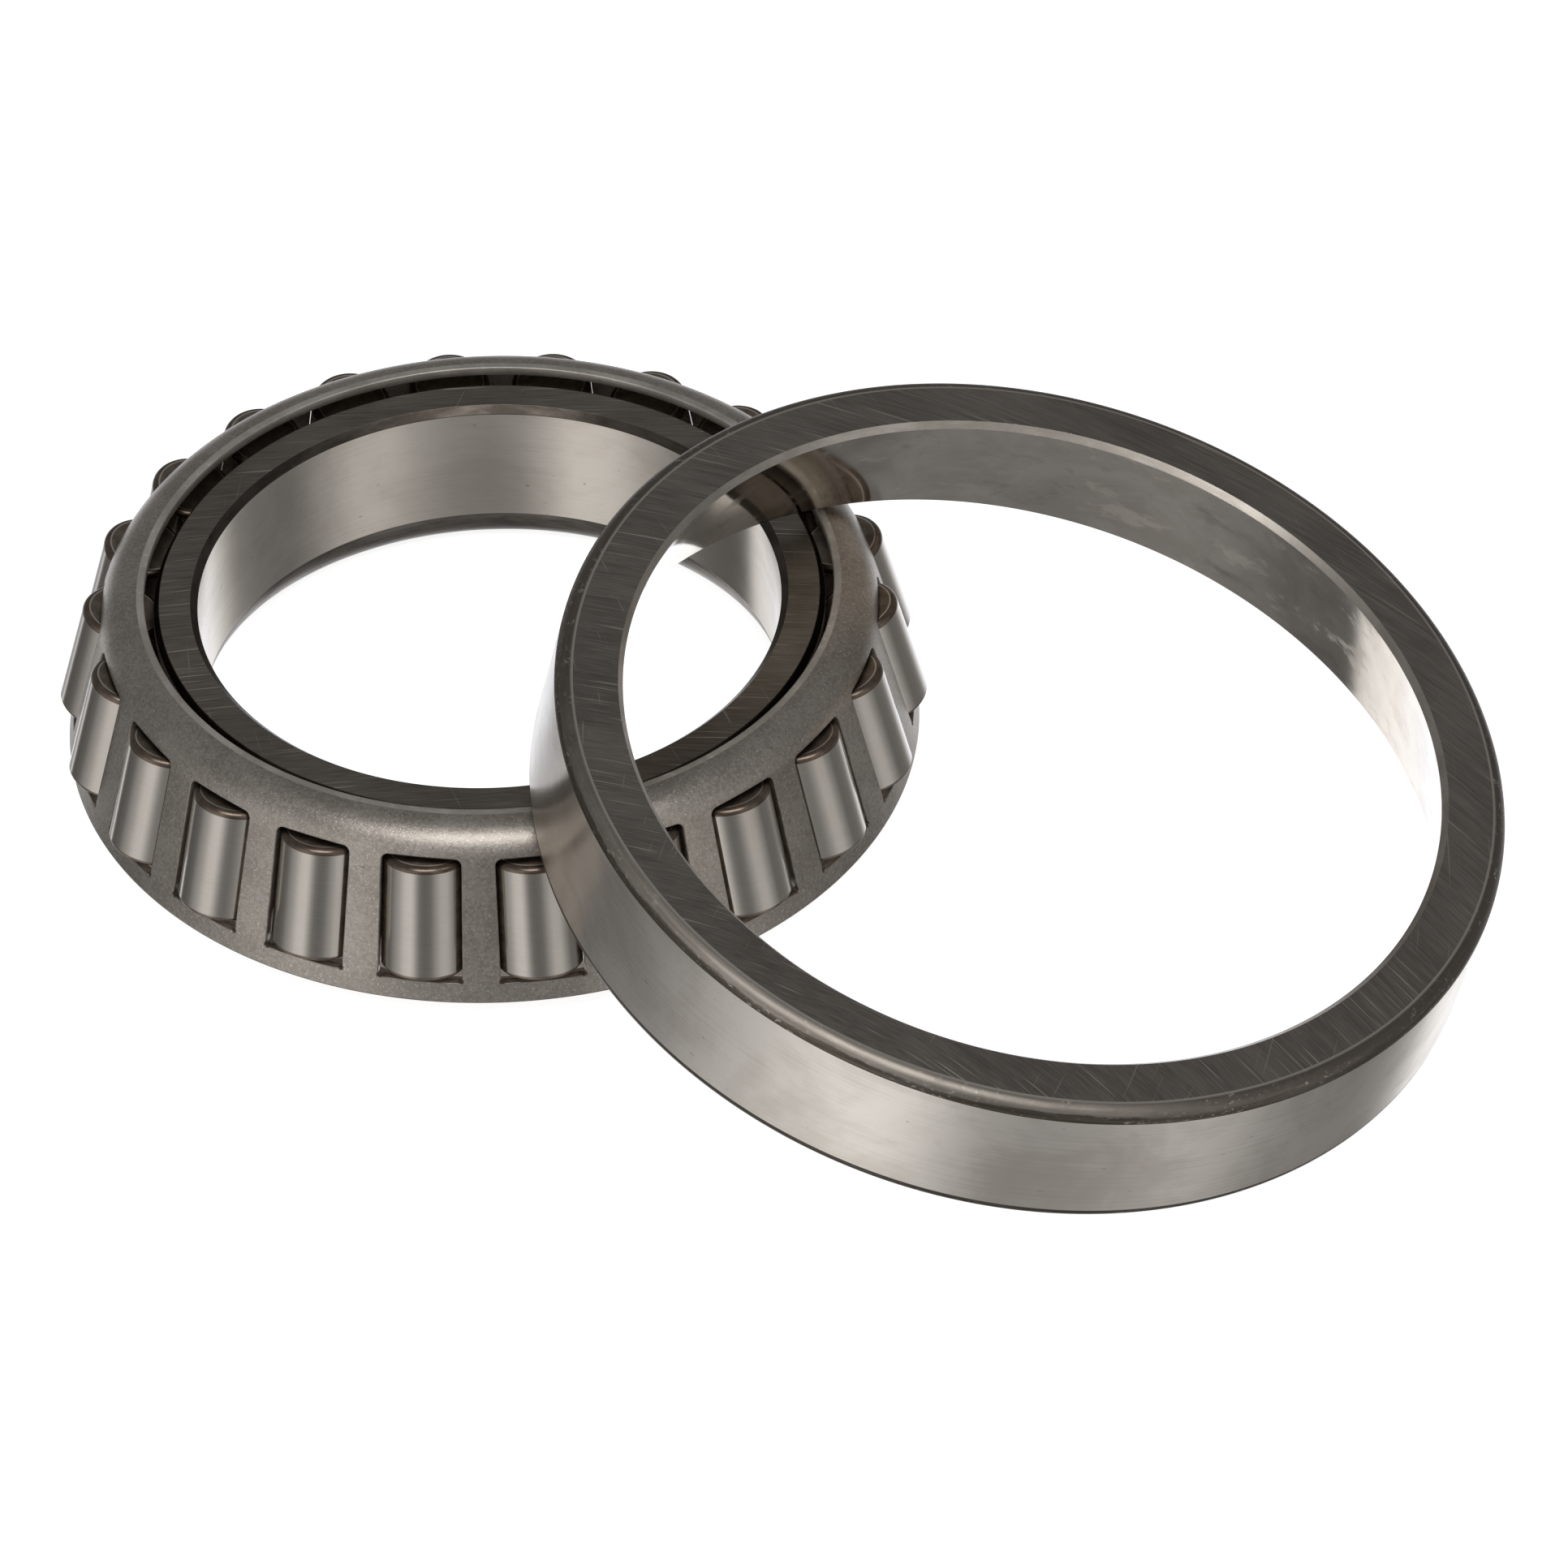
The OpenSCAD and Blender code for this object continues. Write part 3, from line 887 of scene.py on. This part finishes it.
def build_floor():
    """A pale paper floor that only the camera sees, so the polished steel mirrors the studio."""
    mesh = bpy.data.meshes.new("floor")
    h, z = FLOOR_HALF, FLOOR_Z * MM
    mesh.from_pydata([(-h, -h, z), (h, -h, z), (h, h, z), (-h, h, z)], [], [(0, 1, 2, 3)])
    floor = add_object("floor", mesh)
    net = Net("floor_paper")
    net.shader.inputs["Metallic"].default_value = 0
    net.shader.inputs["Roughness"].default_value = 0.9
    net.shader.inputs["Specular IOR Level"].default_value = 0.1
    net.shader.inputs["Emission Strength"].default_value = PAPER_GLOW
    x, y, _ = net.place()
    reach = net.length(x, y)
    shade = net.product(net.span(reach, FOOT_R, FOOT_R + 1),
                        net.span(reach, SHADE_R, SHADE_R + 1.2, 1.0, 0.0))
    net.feed(net.shader.inputs["Emission Color"], net.mix(shade, PAPER_LIGHT, SHADED_LIGHT))
    net.feed(net.shader.inputs["Base Color"], net.mix(shade, PAPER, SHADED_PAPER))
    floor.data.materials.append(net.material)
    floor.visible_glossy = False
    floor.visible_shadow = False
    floor.visible_diffuse = False


def soft_box(name, turn, elevation, distance, width, height, radiance):
    """A rectangular light at a turn from the camera, facing the middle of the object."""
    data = bpy.data.lights.new(name, "AREA")
    data.shape = "RECTANGLE"
    data.size, data.size_y = width, height
    data.energy = radiance * math.pi * width * height
    box = add_object(name, data)
    a, e = CAMERA_TURN + math.radians(turn), math.radians(elevation)
    place = Vector((math.cos(a) * math.cos(e), math.sin(a) * math.cos(e), math.sin(e))) * distance
    box.location = place + Vector((0.035, 0, 0))
    box.rotation_euler = (-place).to_track_quat("-Z", "Y").to_euler()


def build_light():
    """White sweep behind, dark to the sides, broad soft light from both sides of the front."""
    world = bpy.data.worlds.new("studio")
    bpy.context.scene.world = world
    world.use_nodes = True
    net = Nodes(world.node_tree)
    coord = net.tree.nodes.new("ShaderNodeTexCoord")
    split = net.tree.nodes.new("ShaderNodeSeparateXYZ")
    net.feed(split.inputs[0], coord.outputs["Generated"])
    x, y, z = split.outputs
    back_x, back_y = math.cos(CAMERA_TURN + math.pi), math.sin(CAMERA_TURN + math.pi)
    away = net.blend(x, back_x, y, back_y)
    right = net.math("SUBTRACT", net.math("MULTIPLY", x, back_y), net.math("MULTIPLY", y, back_x))
    turn = net.math("MULTIPLY_ADD", net.math("ARCTAN2", right, away), 1 / TAU, 0.5)
    low = net.ramp(turn, [((a + 180) / 360, v) for a, v in ROUND_LIGHT])
    low = net.mix(net.span(z, -0.97, -0.80), (UNDER_LIGHT,) * 3, low)
    # the dark studio in front, near the horizon
    front = net.product(net.span(away, -0.98, -0.86, 1.0, 0.0), net.span(z, -0.45, -0.30))
    low = net.mix(net.math("MULTIPLY", front, DIM_FRONT), low, (0.02,) * 3)
    for left_edge, right_edge, low_edge, high_edge, strength, tone in CARDS:
        card = net.product(net.span(turn, *left_edge), net.span(turn, *right_edge, 1.0, 0.0))
        if low_edge:
            card = net.product(card, net.span(z, *low_edge))
        card = net.product(card, net.span(z, *high_edge, 1.0, 0.0))
        low = net.mix(net.math("MULTIPLY", card, strength), low, (tone,) * 3)
    # a little cooler behind
    cool = net.tree.nodes.new("ShaderNodeVectorMath")
    cool.operation = "MULTIPLY"
    net.feed(cool.inputs[0], low)
    net.feed(cool.inputs[1], net.mix(net.span(away, 0.5, 0.8), (1, 1, 1), (0.97, 1.0, 1.07)))
    # this light reaches above the horizon in front, and ends below it behind
    rim = net.span(away, -0.3, 0.3, 0.45, -0.32)
    high = net.math("SUBTRACT", z, rim)
    light = net.mix(net.span(high, 0.0, 0.25), cool.outputs[0], (OVER_LIGHT,) * 3)
    net.feed(net.tree.nodes["Background"].inputs["Color"], light)
    soft_box("front", turn=0, elevation=60, distance=1.0, width=0.8, height=0.30, radiance=4.6)


def build_camera():
    az, el, roll = CAMERA_AZIMUTH, CAMERA_ELEVATION, CAMERA_ROLL
    forward = Vector((-math.sin(az) * math.cos(el), math.cos(az) * math.cos(el), -math.sin(el)))
    right = Vector((math.cos(az), math.sin(az), 0))
    up = right.cross(forward)
    right, up = (right * math.cos(roll) + up * math.sin(roll),
                 up * math.cos(roll) - right * math.sin(roll))
    rot = Matrix((right, up, -forward)).transposed().to_4x4()
    data = bpy.data.cameras.new("camera")
    data.lens = CAMERA_LENS
    data.sensor_width = 36
    data.clip_start, data.clip_end = 0.05, 20
    cam = add_object("camera", data)
    cam.matrix_world = Matrix.Translation(Vector(CAMERA_PLACE)) @ rot
    bpy.context.scene.camera = cam


build_camera()
build_light()
build_floor()
bpy.context.scene.view_settings.view_transform = "Standard"

# centres of the grinding wheels whose arcs show on the two faces, in millimetres
CUP_WHEEL, CUP_CROSS = (12.0, -126.0), (-80.0, -60.0)
RING_WHEEL, RING_CROSS = (177.0, -277.0), (90.0, 60.0)
WORN_BRIGHT = (0.45, 0.41, 0.36)

# the lists follow the zones: FACE, BORE, CHAMFER, ROUND, RACE
build_inner_ring([
    ground_face("ring_face", RING_WHEEL, RING_CROSS, (0.16, 0.142, 0.123), (0.28, 0.255, 0.225), 0.36),
    ground_turned("bore_wall", (0.48, 0.435, 0.385), (0.57, 0.525, 0.47), 0.20, 5.0, 16.0, 1.0),
    worn_edge("turned_chamfer", (0.05, 0.042, 0.035), (0.10, 0.086, 0.073), WORN_BRIGHT, 0.34, 0.72),
    worn_edge("back_rounding", (0.11, 0.095, 0.08), (0.20, 0.176, 0.152), WORN_BRIGHT, 0.36, 0.7),
    worn_edge("oiled_rib", (0.34, 0.285, 0.24), (0.48, 0.41, 0.35), (0.45, 0.40, 0.35), 0.45, 0.7,
              0.6)])
build_cup([
    ground_face("cup_face", CUP_WHEEL, CUP_CROSS, (0.19, 0.172, 0.152), (0.33, 0.305, 0.275), 0.34),
    ground_turned("cup_outside", (0.65, 0.598, 0.538), (0.81, 0.757, 0.693), 0.25, 4.0, 15.0, 40.0),
    worn_edge("cup_chamfer", (0.38, 0.345, 0.305), (0.50, 0.46, 0.41), (0.62, 0.58, 0.52), 0.34, 0.7),
    cup_corner("cup_rounding"),
    raceway("cup_race", (0.54, 0.49, 0.435), (0.66, 0.61, 0.55), 0.08)])
# side, end, corner; the third colour of each end is its painted highlight line
build_rollers([
    roller_side("roller_side", (0.42, 0.388, 0.35), (0.57, 0.53, 0.48), 0.19),
    roller_end("roller_end", (0.17, 0.138, 0.11), (0.30, 0.25, 0.205), (0.5, 0.45, 0.4), 0.30),
    roller_end("roller_corner", (0.12, 0.09, 0.07), (0.22, 0.175, 0.14), (0.7, 0.66, 0.6), 0.24)])
# outside, inside, cut edges, lip
build_cage([
    pressed_sheet("cage_outside", (0.34, 0.306, 0.27), (0.46, 0.42, 0.375), 0.40),
    pressed_sheet("cage_inside", (0.46, 0.395, 0.34), (0.60, 0.525, 0.46), 0.45, 0.6),
    worn_edge("cage_edges", (0.20, 0.17, 0.145), (0.32, 0.28, 0.24), (0.5, 0.46, 0.41), 0.34, 0.68, 0.3),
    worn_edge("cage_lip", (0.42, 0.385, 0.345), (0.58, 0.54, 0.49), (0.76, 0.72, 0.66), 0.42, 0.56, 0.3)])
